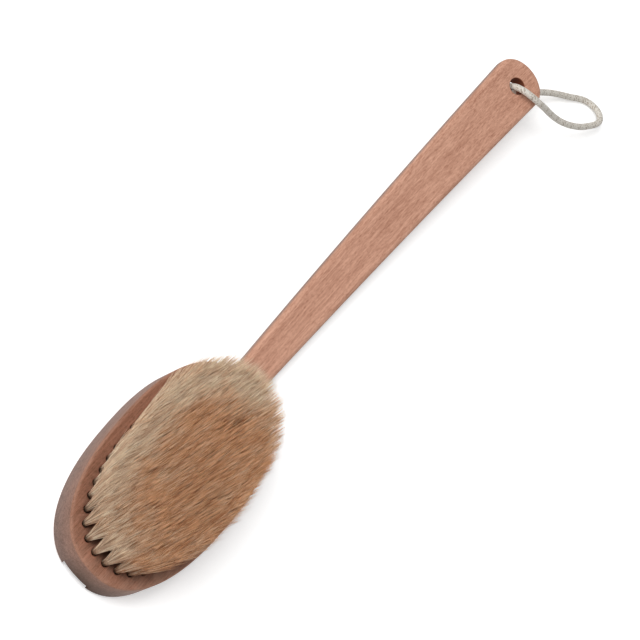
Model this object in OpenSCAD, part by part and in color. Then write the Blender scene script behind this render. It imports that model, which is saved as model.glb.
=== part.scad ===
// Long-handled body brush: an oval wooden head with tufts of natural bristle, a flat
// bowed handle whose dovetail tongue slides into the back of the head, and a hanging loop.
//
// Frame: +X from the head's tip towards the handle's end, +Z from the head's back
// towards the bristles, Y across. The origin is below the middle of the brush's length,
// on the plane of the head's back. All sizes are in millimetres.

/* [Overall] */
// Length of the brush, from the head's tip to the handle's end
total_l = 415; // [380:5:460]

/* [Head] */
// Length of the head
head_l = 140; // [125:1:155]
// Width of the head
head_w = 76; // [66:1:84]
// Thickness of the head
head_t = 18.5; // [17:0.5:24]
// Squareness of the head's outline: 2 is an ellipse, more is squarer
head_square = 2.42; // [2:0.02:2.8]
// How much wider the head is at the handle's side, as a share of its half width
head_egg = 0.035; // [0:0.005:0.08]
// Rounding of the edge round the bristle face
face_edge_r = 1.2; // [0.6:0.1:2]
// Rounding of the edge round the back
back_edge_r = 2.4; // [1:0.1:3]

/* [Handle] */
// Thickness of the handle
handle_t = 9; // [7:0.5:11]
// Width of the handle where it meets the head
neck_w = 17.4; // [16.5:0.2:22]
// Width of the handle where its end starts to round
end_w = 30.8; // [26:0.2:36]
// Length of the rounded end
end_cap_l = 11.6; // [9:0.2:15]
// How far the handle's end is bowed up towards the bristle side
handle_rise = 19.5; // [8:0.5:26]
// Rounding of the handle's long edges
handle_edge_r = 2.8; // [1:0.1:3.2]
// Diameter of the hanging hole
cord_hole_d = 9.2; // [8:0.2:10.4]
// Distance from the handle's end to the hanging hole
cord_hole_inset = 14.6; // [13:0.2:18]
// Easing of the hanging hole's two edges
cord_hole_ease = 0.8; // [0.4:0.1:1]

/* [Dovetail] */
// Width of the groove at its ceiling
groove_w = 17.6; // [16:0.2:20]
// Width of the groove at its mouth, before the edges are eased
groove_mouth_w = 16.2; // [14.5:0.2:18]
// Depth of the groove in the head's back
groove_depth = 4.2; // [3.5:0.1:5]
// Easing of the groove's two mouth edges
groove_ease = 1.2; // [0.6:0.1:1.6]
// Length of the open groove left between the head's tip and the tongue's end
tongue_setback = 8; // [4:0.5:14]
// Sliding clearance between the tongue and the groove, on each side
slide_clear = 0.25; // [0.15:0.05:0.4]
// Clearance between the handle's shoulder and the head
shoulder_clear = 0.3; // [0.2:0.05:0.5]
// Height of the tongue's underside above the head's back, so that it never drags
tongue_lift = 0.3; // [0.2:0.05:0.5]

/* [Bristles] */
// Distance from the head's edge to the outer ring of tufts
rim_w = 8.2; // [7.5:0.1:10]
// Distance from one ring or row of tufts to the next
ring_gap = 7.45; // [7.3:0.05:8.5]
// Distance from tuft to tuft along a ring
tuft_pitch = 7.35; // [7.2:0.05:8.5]
// Least distance between tufts of different rows in the middle of the head
tuft_gap = 6.2; // [6.2:0.1:8]
// Diameter of a tuft hole
tuft_hole_d = 3.8; // [3.4:0.1:4.2]
// Depth of a tuft hole
tuft_hole_depth = 10.5; // [8:0.5:11]
// Clearance between a tuft and the wall of its hole
tuft_clear = 0.15; // [0.1:0.05:0.2]
// Length of the bristles above the face
bristle_l = 22.5; // [18:0.5:28]
// Radius of a tuft at its tips
tuft_tip_r = 3; // [2.6:0.1:3.1]
// Outward lean of the outer ring's tufts and holes, in degrees
outer_lean = 4; // [2:0.5:6]

/* [Anchors] */
// Height of the flat wire anchor that holds a tuft in its hole
anchor_h = 1.6; // [1.2:0.1:2]
// Thickness of the anchor
anchor_t = 0.45; // [0.3:0.05:0.6]
// Height of the anchor above the hole's floor, where the bristles fold under it
anchor_lift = 0.8; // [0.5:0.1:1.5]
// Clearance round an anchor, in its tuft and at the hole's wall
anchor_clear = 0.1; // [0.05:0.05:0.15]

/* [Hanging loop] */
// Diameter of the braided cord
cord_d = 3.8; // [3:0.1:4]
// Diameter of the knot that joins the loop's two ends
knot_d = 8.6; // [7.6:0.2:9]

/* [Hidden] */

tip_x = -total_l / 2;              // the head's tip
head_x = tip_x + head_l / 2;       // the middle of the head
tail_x = tip_x + head_l;           // the head's end at the handle
end_x = tip_x + total_l;           // the handle's end
handle_l = end_x - tail_x;
hole_x = end_x - cord_hole_inset;  // the hanging hole
rings = 3;                         // full rings of tufts round the three inner rows
outline_points = 72;               // points round the head's outline
edge_steps = 3;                    // steps in each rounded edge
past = 1;                          // how far a cutter runs past what it cuts
hole_fn = 32;

// The cord's route: out of the knot, up through the hole, over the handle, round the loop
// on the surface below, and back under the handle to the knot.
cord_route = [
    [199.3, -2.2, 12], [197.4, -1.4, 14.7], [195.2, 0.1, 17.3], [192.8, 1.5, 21.2],
    [191.4, 1.3, 24.4], [190.7, 0.2, 27.2], [190.2, -1.9, 29.5], [190.3, -4.9, 31.1],
    [191.2, -9, 31.5], [193.5, -14.2, 30.1], [197.9, -19.7, 26.4], [202.8, -25.4, 21.6],
    [207.4, -30.9, 17.8], [211.9, -36.4, 15.2], [217.7, -42, 12.8], [224.6, -47.2, 10.4],
    [231.7, -51.2, 8.5], [238.4, -54.3, 7.3], [242.7, -54.8, 6.5], [246, -53.6, 5.5],
    [248.4, -51.3, 4.3], [249.6, -48.1, 3.1], [249.4, -44.1, 2.1], [246.5, -39.3, 2],
    [240.3, -33.5, 2.9], [233.6, -27.5, 4.8], [226.5, -21.8, 7], [220, -17.5, 9.1],
    [212.5, -12.6, 11.7], [205.6, -7.2, 12.5], [199.3, -2.2, 11.2]
];
cord_sides = 8;

// ---- Outlines ----

// Signed power: keeps the sign of a and raises its size.
function spow(a, p) = sign(a) * pow(abs(a), p);

// The head's outline, drawn in from its edge by inset: a superellipse, wider at +X.
function oval(inset, n = outline_points) = [
    for (i = [0:n - 1])
        let (a = 360 * i / n, u = spow(cos(a), 2 / head_square), v = spow(sin(a), 2 / head_square))
            [(head_l / 2 - inset) * u, (head_w / 2 - inset) * v * (1 + head_egg * u)]
];

// How far the rounding of radius r has drawn in at height h below the end of its arc.
function drawn_in(r, h) = r - sqrt(max(0, r * r - (r - h) * (r - h)));

// The handle's middle height at x: level at the head, then bowed up to its end.
function bow_z(x) =
    tongue_lift + handle_t / 2 + handle_rise * pow(max(0, x - tail_x) / handle_l, 2);

// The handle's slope at x, in degrees.
function bow_slope(x) = atan(2 * handle_rise * max(0, x - tail_x) / pow(handle_l, 2));

// Half of the handle's width along its straight flanks.
function flank(x) = neck_w / 2 + (end_w - neck_w) / 2 * (x - tail_x) / (handle_l - end_cap_l);

// One side of the handle's plan outline, drawn in by inset, from the head to the end.
handle_start_x = tail_x - back_edge_r;
flank_steps = 16;
cap_steps = 10;
function handle_side(inset) = concat(
    [for (i = [0:flank_steps - 1])
        let (x = handle_start_x + (end_x - end_cap_l - handle_start_x) * i / flank_steps)
            [x, flank(x) - inset]],
    [for (i = [0:cap_steps - 1])
        let (a = 90 * i / (cap_steps - 0.5))
            [end_x - end_cap_l + (end_cap_l - inset) * sin(a) / sin(90 * (cap_steps - 1) / (cap_steps - 0.5)),
             (end_w / 2 - inset) * cos(a)]]
);
function handle_loop(inset, z) =
    let (side = handle_side(inset), n = len(side))
        concat([for (p = side) [p.x, p.y, bow_z(p.x) + z]],
               [for (i = [n - 1:-1:0]) [side[i].x, -side[i].y, bow_z(side[i].x) + z]]);

// Width of the dovetail at height z above the head's back.
function groove_at(z) = groove_mouth_w + (groove_w - groove_mouth_w) * z / groove_depth;

// ---- Tuft layout ----

// Running length of a closed outline at each of its points.
function running(points, i = 0, sum = [0]) =
    i == len(points) ? sum
        : running(points, i + 1,
                  concat(sum, [sum[i] + norm(points[(i + 1) % len(points)] - points[i])]));

// The point at distance s along a closed outline.
function at_length(points, sums, s) =
    let (k = max([for (i = [0:len(points) - 1]) if (sums[i] <= s) i]),
         f = (s - sums[k]) / (sums[k + 1] - sums[k]))
        points[k] * (1 - f) + points[(k + 1) % len(points)] * f;

// Places of ring k's tufts, evenly spaced along its oval.
function ring_places(k) =
    let (points = oval(rim_w + (k - 1) * ring_gap, 2 * outline_points),
         sums = running(points),
         around = sums[len(points)],
         count = round(around / tuft_pitch))
        [for (i = [0:count - 1]) at_length(points, sums, around * (i + 0.5) / count)];

// Places of the tufts in the row on one side of the middle: half of a ring whose two
// ends are left open, so that its sides stay tuft_gap apart.
function side_row(side) = [for (p = ring_places(rings + 1)) if (side * p.y >= tuft_gap / 2) p];

// Places of the middle row's tufts: evenly spaced, with one at each end of the ring that
// the side rows follow, where they clear the rows on both sides.
function middle_row() =
    let (reach = head_l / 2 - rim_w - rings * ring_gap,
         most = floor(reach / tuft_pitch) - 1,
         beside = concat(side_row(-1), side_row(1)))
        [for (x = concat([-reach], [for (i = [-most:most]) i * tuft_pitch], [reach]))
            if (min([for (q = beside) norm([x, 0] - q)]) >= tuft_gap) [x, 0]];

places = [ring_places(1), ring_places(2), ring_places(3),
          side_row(-1), middle_row(), side_row(1)];
leans = [for (k = [0:len(places) - 1]) outer_lean * max(0, 1 - k / rings)];

// Puts its children in the frame of each of a group's tuft holes: the origin is at the
// hole's mouth on the face, and +Z points out along the leaning hole.
module at_holes(k) {
    for (p = places[k])
        translate([head_x + p.x, p.y, head_t])
            rotate(atan2(p.y * head_l / head_w, p.x) * [0, 0, 1])
                rotate([0, leans[k], 0])
                    children();
}

// ---- Solids from loops ----

// A closed solid through level loops of points, each counter-clockwise seen from +Z.
module stack(loops) {
    n = len(loops[0]);
    top = (len(loops) - 1) * n;
    polyhedron(
        points = [for (loop = loops) each loop],
        faces = concat(
            [[for (i = [0:n - 1]) i]],
            [for (k = [0:len(loops) - 2], i = [0:n - 1])
                [k * n + i, (k + 1) * n + i, (k + 1) * n + (i + 1) % n, k * n + (i + 1) % n]],
            [[for (i = [n - 1:-1:0]) top + i]]),
        convexity = 4);
}

// The same for loops that are mirrored about the X axis and bend in Z: the two ends are
// closed by strips from side to side.
module bent_stack(loops) {
    n = len(loops[0]);
    top = (len(loops) - 1) * n;
    polyhedron(
        points = [for (loop = loops) each loop],
        faces = concat(
            [for (i = [0:n / 2 - 2]) [i + 1, i, n - 1 - i, n - 2 - i]],
            [for (k = [0:len(loops) - 2], i = [0:n - 1])
                [k * n + (i + 1) % n, (k + 1) * n + (i + 1) % n, (k + 1) * n + i, k * n + i]],
            [for (i = [0:n / 2 - 2]) [top + i, top + i + 1, top + n - 2 - i, top + n - 1 - i]]),
        convexity = 6);
}

// A round tube with n sides along points, square to the route at each of them.
module tube(points, r, n) {
    last = len(points) - 1;
    rings_of = [for (i = [0:last])
        let (t = points[min(last, i + 1)] - points[max(0, i - 1)],
             d = t / norm(t),
             side = cross(d, [0.31, 0.92, 0.24]),
             a = side / norm(side),
             b = cross(d, a))
            [for (j = [0:n - 1]) points[i] + r * (a * cos(360 * j / n) + b * sin(360 * j / n))]];
    stack(rings_of);
}

// ---- Head ----

module head_blank() {
    loops = concat(
        [for (i = [0:edge_steps]) let (h = back_edge_r * (1 - cos(90 * i / edge_steps)))
            [for (p = oval(drawn_in(back_edge_r, h))) [p.x, p.y, h]]],
        [for (i = [edge_steps:-1:0]) let (h = face_edge_r * (1 - cos(90 * i / edge_steps)))
            [for (p = oval(drawn_in(face_edge_r, h))) [p.x, p.y, head_t - h]]]);
    translate([head_x, 0, 0]) stack(loops);
}

// The through groove: a dovetail with eased mouth edges.
module groove_cutter() {
    half_mouth = groove_at(0) / 2;
    translate([tip_x - past, 0, 0])
        rotate([90, 0, 90])
            linear_extrude(head_l + 2 * past)
                polygon([
                    [-half_mouth - groove_ease - past, -past],
                    [half_mouth + groove_ease + past, -past],
                    [groove_at(groove_ease) / 2, groove_ease],
                    [groove_w / 2, groove_depth],
                    [-groove_w / 2, groove_depth],
                    [-groove_at(groove_ease) / 2, groove_ease]
                ]);
}

module head_block() {
    color("burlywood")
        difference() {
            head_blank();
            groove_cutter();
            for (k = [0:len(places) - 1])
                at_holes(k)
                    translate([0, 0, -tuft_hole_depth])
                        cylinder(d = tuft_hole_d, h = tuft_hole_depth + past, $fn = hole_fn);
        }
}

// ---- Handle ----

module handle_blank() {
    loops = concat(
        [for (i = [0:edge_steps]) let (h = handle_edge_r * (1 - cos(90 * i / edge_steps)))
            handle_loop(drawn_in(handle_edge_r, h), h - handle_t / 2)],
        [for (i = [edge_steps:-1:0]) let (h = handle_edge_r * (1 - cos(90 * i / edge_steps)))
            handle_loop(drawn_in(handle_edge_r, h), handle_t / 2 - h)]);
    bent_stack(loops);
}

// The head's room: what the shoulder of the handle is cut back from.
module head_room() {
    translate([head_x, 0, -past])
        linear_extrude(head_t)
            polygon(oval(-shoulder_clear));
}

module tongue() {
    low_half = groove_at(tongue_lift) / 2 - slide_clear;
    high = groove_depth - slide_clear;
    high_half = groove_at(high) / 2 - slide_clear;
    start_x = tip_x + tongue_setback;
    translate([start_x, 0, 0])
        rotate([90, 0, 90])
            linear_extrude(tail_x + neck_w / 2 - start_x)
                polygon([[-low_half, tongue_lift], [low_half, tongue_lift],
                         [high_half, high], [-high_half, high]]);
}

module cord_hole_cutter() {
    translate([hole_x, 0, bow_z(hole_x)])
        rotate([0, -bow_slope(hole_x), 0]) {
            cylinder(d = cord_hole_d, h = 3 * handle_t, center = true, $fn = 2 * hole_fn);
            for (side = [0, 180])
                rotate([side, 0, 0])
                    translate([0, 0, handle_t / 2 - cord_hole_ease])
                        cylinder(d1 = cord_hole_d, d2 = cord_hole_d + 4 * cord_hole_ease,
                                 h = 2 * cord_hole_ease, $fn = 2 * hole_fn);
        }
}

module handle() {
    color("tan")
        difference() {
            union() {
                difference() {
                    handle_blank();
                    head_room();
                }
                tongue();
            }
            cord_hole_cutter();
        }
}

// ---- Bristles and their anchors ----

// The space that an anchor fills, grown by clear: flat across the hole, above the fold.
module anchor_bar(clear) {
    length = tuft_hole_d - 2 * anchor_clear + 2 * clear;
    translate([-length / 2, -anchor_t / 2 - clear, anchor_lift - tuft_hole_depth - clear])
        cube([length, anchor_t + 2 * clear, anchor_h + 2 * clear]);
}

// One tuft: a round stem that fills the hole, and a flare above the face.
module tuft() {
    stem_r = tuft_hole_d / 2 - tuft_clear;
    collar = 0.5;
    difference() {
        rotate_extrude($fn = hole_fn)
            polygon([[0, -tuft_hole_depth], [stem_r, -tuft_hole_depth], [stem_r, collar],
                     [tuft_tip_r, bristle_l], [0, bristle_l]]);
        anchor_bar(anchor_clear);
    }
}

module tufts(k) {
    color("wheat") at_holes(k) tuft();
}

module anchors(k) {
    color("silver") at_holes(k) anchor_bar(0);
}

// ---- Hanging loop ----

module hanging_cord() {
    color("ivory") tube(cord_route, cord_d / 2, cord_sides);
}

// The knot below the hole: a round body with a turn of cord round it.
module cord_knot() {
    color("linen")
        translate(cord_route[0])
            union() {
                sphere(d = knot_d, $fn = 24);
                rotate([90, 0, 35])
                    rotate_extrude($fn = hole_fn)
                        translate([knot_d / 2 - cord_d / 4, 0])
                            circle(d = cord_d * 0.9, $fn = 20);
            }
}

head_block();
handle();
tufts(0);  // tufts_ring_1
tufts(1);  // tufts_ring_2
tufts(2);  // tufts_ring_3
tufts(3);  // tufts_row_right
tufts(4);  // tufts_row_middle
tufts(5);  // tufts_row_left
anchors(0);  // anchors_ring_1
anchors(1);  // anchors_ring_2
anchors(2);  // anchors_ring_3
anchors(3);  // anchors_row_right
anchors(4);  // anchors_row_middle
anchors(5);  // anchors_row_left
hanging_cord();
cord_knot();
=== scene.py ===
"""A long-handled body brush: oval wooden head with bristle tufts, bowed handle, braided loop.

Everything is in metres, in the frame of the CAD part: +X from the head's tip towards the
handle's end, +Z from the head's back towards the bristles. Sizes that the frame doesn't
give are named here once, in millimetres times MM.
"""

import math

import bpy
import numpy as np
from mathutils import Matrix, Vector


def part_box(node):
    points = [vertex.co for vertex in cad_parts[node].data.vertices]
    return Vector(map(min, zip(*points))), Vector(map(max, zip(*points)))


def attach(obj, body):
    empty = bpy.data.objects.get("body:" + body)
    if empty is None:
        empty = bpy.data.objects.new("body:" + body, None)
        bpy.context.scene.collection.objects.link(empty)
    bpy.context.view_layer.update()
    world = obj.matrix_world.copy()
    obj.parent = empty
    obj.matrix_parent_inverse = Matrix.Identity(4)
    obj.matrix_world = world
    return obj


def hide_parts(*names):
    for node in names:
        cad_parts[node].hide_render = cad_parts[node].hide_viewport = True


MM = 0.001
SEED = 7
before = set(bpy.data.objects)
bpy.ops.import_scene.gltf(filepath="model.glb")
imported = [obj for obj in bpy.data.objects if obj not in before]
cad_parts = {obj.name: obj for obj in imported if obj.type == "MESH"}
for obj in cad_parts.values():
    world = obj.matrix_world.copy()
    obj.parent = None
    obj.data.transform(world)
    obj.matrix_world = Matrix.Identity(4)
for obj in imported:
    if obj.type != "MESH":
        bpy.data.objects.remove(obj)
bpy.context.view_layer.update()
rng = np.random.default_rng(SEED)

# ---- Sizes, from the frame and from the brush's own dimensions ----

head_low, head_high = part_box("head_block")
TIP_X, TAIL_X, HEAD_T = head_low[0], head_high[0], head_high[2]
END_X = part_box("handle")[1][0]
HEAD_HALF_L = (TAIL_X - TIP_X) / 2
HEAD_HALF_W = 38 * MM
HEAD_X = TIP_X + HEAD_HALF_L
HEAD_SQUARE = 2.42
HEAD_EGG = 0.035
FACE_EDGE_R = 1.2 * MM
BACK_EDGE_R = 2.4 * MM
HOLD = 0.5 * MM  # width of the narrow band that keeps a flat side's shading flat
FLAT_INSET = 0.75  # share of the half width that the head's flat sides draw in to
HEAD_POINTS = 288  # points round the head's outline
EDGE_STEPS = 7  # points along the quarter circle of a rounded edge
SHARP_ANGLE = math.radians(32)  # faces that meet at more than this show a hard edge
CUT_PAST = 2 * MM  # how far a cutter reaches past the wood

HANDLE_T = 9 * MM
NECK_W = 17.4 * MM
END_W = 30.8 * MM
END_CAP_L = 11.6 * MM
HANDLE_RISE = 19.5 * MM
HANDLE_EDGE_R = 2.8 * MM
HANDLE_L = END_X - TAIL_X
CAP_X = END_X - END_CAP_L
HANDLE_FLANK_STEPS = 90
HANDLE_CAP_STEPS = 26
SHOULDER_CLEAR = 0.3 * MM

CORD_HOLE_R = 4.6 * MM
CORD_HOLE_X = END_X - 14.6 * MM
CORD_HOLE_EASE = 0.9 * MM
CORD_HOLE_SIDES = 64

GROOVE_W = 17.6 * MM
GROOVE_MOUTH_W = 16.2 * MM
GROOVE_DEPTH = 4.2 * MM
GROOVE_EASE = 1.2 * MM
TONGUE_SETBACK = 8 * MM
TONGUE_LIFT = 0.3 * MM
SLIDE_CLEAR = 0.25 * MM

RIM_W = 8.2 * MM
RING_GAP = 7.45 * MM
TUFT_PITCH = 7.35 * MM
TUFT_GAP = 6.2 * MM
TUFT_HOLE_R = 1.9 * MM
TUFT_HOLE_DEPTH = 10.5 * MM
TUFT_HOLE_EASE = 0.35 * MM
TUFT_HOLE_SIDES = 18
RING_POINTS = 144  # points round the outline that a ring of tufts follows
BRISTLE_L = 22.5 * MM
OUTER_LEAN = math.radians(4)
RINGS = 3

CORD_D = 3.8 * MM
KNOT_SIZE = 1.05 * MM  # the knot's curve reaches three times this from its middle
KNOT_D = 0.82 * CORD_D
TAIL_D = 0.92 * CORD_D

# The hanging loop's route: up from the knot through the hole, over the handle, round the
# loop on the surface below, and back under the handle to the knot.
CORD_ROUTE = np.array([
    (199.3, -2.2, 12), (197.4, -1.4, 14.7), (195.2, 0.1, 17.3), (192.8, 1.5, 21.2),
    (191.4, 1.3, 24.4), (190.7, 0.2, 27.2), (190.2, -1.9, 29.5), (190.3, -4.9, 31.1),
    (191.2, -9, 31.5), (193.5, -14.2, 30.1), (197.9, -19.7, 26.4), (202.8, -25.4, 21.6),
    (207.4, -30.9, 17.8), (211.9, -36.4, 15.2), (217.7, -42, 12.8), (224.6, -47.2, 10.4),
    (231.7, -51.2, 8.5), (238.4, -54.3, 7.3), (242.7, -54.8, 6.5), (246, -53.6, 5.5),
    (248.4, -51.3, 4.3), (249.6, -48.1, 3.1), (249.4, -44.1, 2.1), (246.5, -39.3, 2),
    (240.3, -33.5, 2.9), (233.6, -27.5, 4.8), (226.5, -21.8, 7), (220, -17.5, 9.1),
    (212.5, -12.6, 11.7), (205.6, -7.2, 12.5), (199.3, -2.2, 11.2),
]) * MM


# ---- Meshes from arrays ----

def linked(name, data):
    """A new object of the scene with the given data."""
    made = bpy.data.objects.new(name, data)
    bpy.context.scene.collection.objects.link(made)
    return made


def mesh_object(name, points, faces):
    """An object whose mesh has the given points (n, 3) and faces (m, 3) or (m, 4)."""
    mesh = bpy.data.meshes.new(name)
    count, corners = faces.shape
    mesh.vertices.add(len(points))
    mesh.vertices.foreach_set("co", points.astype(np.float32).ravel())
    mesh.loops.add(count * corners)
    mesh.loops.foreach_set("vertex_index", faces.astype(np.int32).ravel())
    mesh.polygons.add(count)
    mesh.polygons.foreach_set("loop_start", np.arange(count, dtype=np.int32) * corners)
    mesh.update(calc_edges=True)
    mesh.validate()
    return linked(name, mesh)


def point_attribute(piece, name, values):
    """Stores one number per point under the given name, for the piece's material."""
    attribute = piece.data.attributes.new(name, "FLOAT", "POINT")
    attribute.data.foreach_set("value", np.asarray(values, np.float32).ravel())


def grid_faces(rows, columns):
    """Quads of a grid of points that closes round its columns, (rows - 1) * columns of them."""
    k, i = np.meshgrid(np.arange(rows - 1), np.arange(columns), indexing="ij")
    j = (i + 1) % columns
    quads = np.stack([k * columns + i, k * columns + j, (k + 1) * columns + j,
                      (k + 1) * columns + i], axis=-1)
    return quads.reshape(-1, 4)


def split(quads):
    """The two triangles of each quad."""
    return np.concatenate([quads[:, [0, 1, 2]], quads[:, [0, 2, 3]]])


def loft_faces(rows, columns):
    """Triangles of a closed solid through loops of points. Each end is a fan to the middle
    of its loop, and the two middles are the last two points."""
    i = np.arange(columns)
    j = (i + 1) % columns
    middle, top = rows * columns, (rows - 1) * columns
    first = np.stack([np.full(columns, middle), j, i], axis=1)
    last = np.stack([np.full(columns, middle + 1), top + i, top + j], axis=1)
    return np.concatenate([first, last, split(grid_faces(rows, columns))])


def closed_loft(name, rows):
    """A closed solid through loops of points (rows, columns, 3), counter-clockwise seen
    from the last loop."""
    ends = np.stack([rows[0].mean(0), rows[-1].mean(0)])
    points = np.concatenate([rows.reshape(-1, 3), ends])
    return mesh_object(name, points, loft_faces(*rows.shape[:2]))


def raised(plan, heights):
    """Loops of points: the plan's (x, y) points at each height. The plan is one outline
    for all heights or one for each."""
    plan = np.broadcast_to(plan, (len(heights), *plan.shape[-2:]))
    up = np.broadcast_to(np.reshape(heights, (-1, 1, 1)), (*plan.shape[:2], 1))
    return np.concatenate([plan, up], axis=2)


def carved(piece, *steps):
    """Cuts or joins solids: each step is ("DIFFERENCE" or "UNION", other solid). The
    others are used up, and the result becomes the piece's own mesh, shaded smooth but for
    hard edges. Returns the piece."""
    for operation, other in steps:
        cut = piece.modifiers.new(operation.lower(), "BOOLEAN")
        cut.operation = operation
        cut.object = other
        cut.solver = "MANIFOLD"
    graph = bpy.context.evaluated_depsgraph_get()
    result = bpy.data.meshes.new_from_object(piece.evaluated_get(graph))
    piece.modifiers.clear()
    piece.data = result
    result.name = piece.name
    result.shade_smooth()
    result.set_sharp_from_angle(angle=SHARP_ANGLE)
    for _, other in steps:
        bpy.data.objects.remove(other)
    return piece


def points_of(piece):
    """The piece's points as an array (n, 3)."""
    co = np.zeros(len(piece.data.vertices) * 3, np.float32)
    piece.data.vertices.foreach_get("co", co)
    return co.reshape(-1, 3).astype(float)


def smoothstep(low, high, x):
    """0 below low, 1 above high, and a smooth S between them. With low above high, it
    falls from 1 to 0."""
    t = np.clip((x - low) / (high - low), 0, 1)
    return t * t * (3 - 2 * t)


def unit(vectors):
    """Vectors brought to length 1."""
    return vectors / np.linalg.norm(vectors, axis=-1, keepdims=True)


def across_axes(heading, aside):
    """Two unit vectors square to each unit heading and to one another. The first is square
    to aside too, a direction that no heading follows."""
    one = unit(np.cross(heading, aside))
    return one, np.cross(heading, one)


def around(angle, one, two):
    """The direction at an angle from the first axis towards the second."""
    return np.cos(angle)[..., None] * one + np.sin(angle)[..., None] * two


def way_along(points):
    """How far along the line through the points each one is."""
    return np.concatenate([[0], np.cumsum(np.linalg.norm(np.diff(points, axis=0), axis=1))])


def at_ways(points, way, at):
    """The points of the line at the given ways along it."""
    return np.stack([np.interp(at, way, part) for part in points.T], axis=1)


def full_turn(count):
    """Angles of count points evenly round a circle."""
    return 2 * np.pi * np.arange(count) / count


# ---- Outlines ----

def signed_power(a, p):
    """The size of a raised to p, with a's sign."""
    return np.sign(a) * np.abs(a) ** p


def head_outline(inset, count):
    """The head's outline drawn in by inset: x = (half length) c^(2/n), y = (half width)
    s^(2/n) (1 + egg c^(2/n)), where c and s are the cosine and sine of the turn and n is
    the squareness. Arrays of insets give one outline each."""
    turn = full_turn(count)
    u = signed_power(np.cos(turn), 2 / HEAD_SQUARE)
    v = signed_power(np.sin(turn), 2 / HEAD_SQUARE)
    inset = np.asarray(inset, float)[..., None]
    return np.stack([(HEAD_HALF_L - inset) * u, (HEAD_HALF_W - inset) * v * (1 + HEAD_EGG * u)],
                    axis=-1)


def rounded_edge(r):
    """A quarter circle as (drawn in, height) pairs, from the flat face to the wall."""
    turn = np.linspace(0, np.pi / 2, EDGE_STEPS)
    return r * (1 - np.sin(turn)), r * (1 - np.cos(turn))


def bow_z(x):
    """The handle's middle height: level at the head, then rising as the square of the way."""
    way = np.maximum(0, x - TAIL_X) / HANDLE_L
    return TONGUE_LIFT + HANDLE_T / 2 + HANDLE_RISE * way ** 2


def half_width(x):
    """Half the handle's width at x, which grows evenly along its straight flanks."""
    return (NECK_W + (END_W - NECK_W) * (x - TAIL_X) / (CAP_X - TAIL_X)) / 2


def bow_slope(x):
    """The handle's slope at x, in radians."""
    return math.atan(2 * HANDLE_RISE * max(0, x - TAIL_X) / HANDLE_L ** 2)


def groove_width(z):
    """Width of the dovetail groove, which grows evenly with the height z above the back."""
    return GROOVE_MOUTH_W + (GROOVE_W - GROOVE_MOUTH_W) * z / GROOVE_DEPTH


def prism_along_x(name, x_from, x_to, outline):
    """A straight prism with the given outline of (y, z) points, counter-clockwise seen
    from +X."""
    return closed_loft(name, np.roll(raised(np.array(outline), (x_from, x_to)), 1, axis=2))


# ---- Tuft layout ----

def ring_places(ring):
    """Tuft places on ring number ring, spaced evenly along its outline."""
    outline = head_outline(RIM_W + (ring - 1) * RING_GAP, RING_POINTS)
    closed = np.concatenate([outline, outline[:1]])
    way = way_along(closed)
    count = round(way[-1] / TUFT_PITCH)
    return at_ways(closed, way, way[-1] * (np.arange(count) + 0.5) / count)


def side_row(side):
    """The row on one side of the middle: half of a ring, its two ends left open."""
    places = ring_places(RINGS + 1)
    return places[side * places[:, 1] >= TUFT_GAP / 2]


def middle_row():
    """The middle row: evenly spaced, with one tuft at each end of the ring that the side
    rows follow, where they clear the rows on both sides."""
    reach = HEAD_HALF_L - RIM_W - RINGS * RING_GAP
    most = int(reach / TUFT_PITCH) - 1
    along = np.concatenate([[-reach], np.arange(-most, most + 1) * TUFT_PITCH, [reach]])
    places = np.stack([along, np.zeros(len(along))], axis=1)
    beside = np.concatenate([side_row(-1), side_row(1)])
    apart = np.linalg.norm(places[:, None] - beside[None], axis=2).min(1)
    return places[apart >= TUFT_GAP]


TUFT_GROUPS = {
    "ring_1": (ring_places(1), OUTER_LEAN),
    "ring_2": (ring_places(2), OUTER_LEAN * 2 / 3),
    "ring_3": (ring_places(3), OUTER_LEAN / 3),
    "row_right": (side_row(-1), 0),
    "row_middle": (middle_row(), 0),
    "row_left": (side_row(1), 0),
}


def tuft_frames(places, lean):
    """Mouth of each tuft hole (n, 3), and the three axes of its frame (n, 3, 3): across,
    across, and out along the hole, which leans outwards."""
    turn = np.arctan2(places[:, 1] * HEAD_HALF_L / HEAD_HALF_W, places[:, 0])
    x, y, z = np.eye(3)
    axis = around(turn, x, y) * math.sin(lean) + z * math.cos(lean)
    side = around(turn, y, -x)
    mouth = raised(places + [HEAD_X, 0], [HEAD_T])[0]
    return mouth, np.stack([np.cross(side, axis), side, axis], axis=1)


# ---- Wooden pieces ----

def hole_cutters():
    """All tuft holes as one set of closed round plugs, with a small eased mouth. A plug is
    a radius for each depth, turned about the hole's axis."""
    ease = TUFT_HOLE_EASE
    depth = np.array([-TUFT_HOLE_DEPTH, -ease, 0, 2 * ease])
    radius = TUFT_HOLE_R + np.array([0, 0, ease, 3 * ease])
    across = radius[:, None, None] * around(full_turn(TUFT_HOLE_SIDES), *np.eye(2))
    ends = [[0, 0, depth[0]], [0, 0, depth[-1]]]
    plug = np.concatenate([raised(across, depth).reshape(-1, 3), ends])
    plug_faces = loft_faces(len(depth), TUFT_HOLE_SIDES)
    mouths, axes = (np.concatenate(part) for part in
                    zip(*(tuft_frames(*group) for group in TUFT_GROUPS.values())))
    points = mouths[:, None] + plug[None] @ axes
    faces = plug_faces[None] + (np.arange(len(mouths)) * len(plug))[:, None, None]
    return mesh_object("hole_cutters", points.reshape(-1, 3), faces.reshape(-1, 3))


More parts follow.
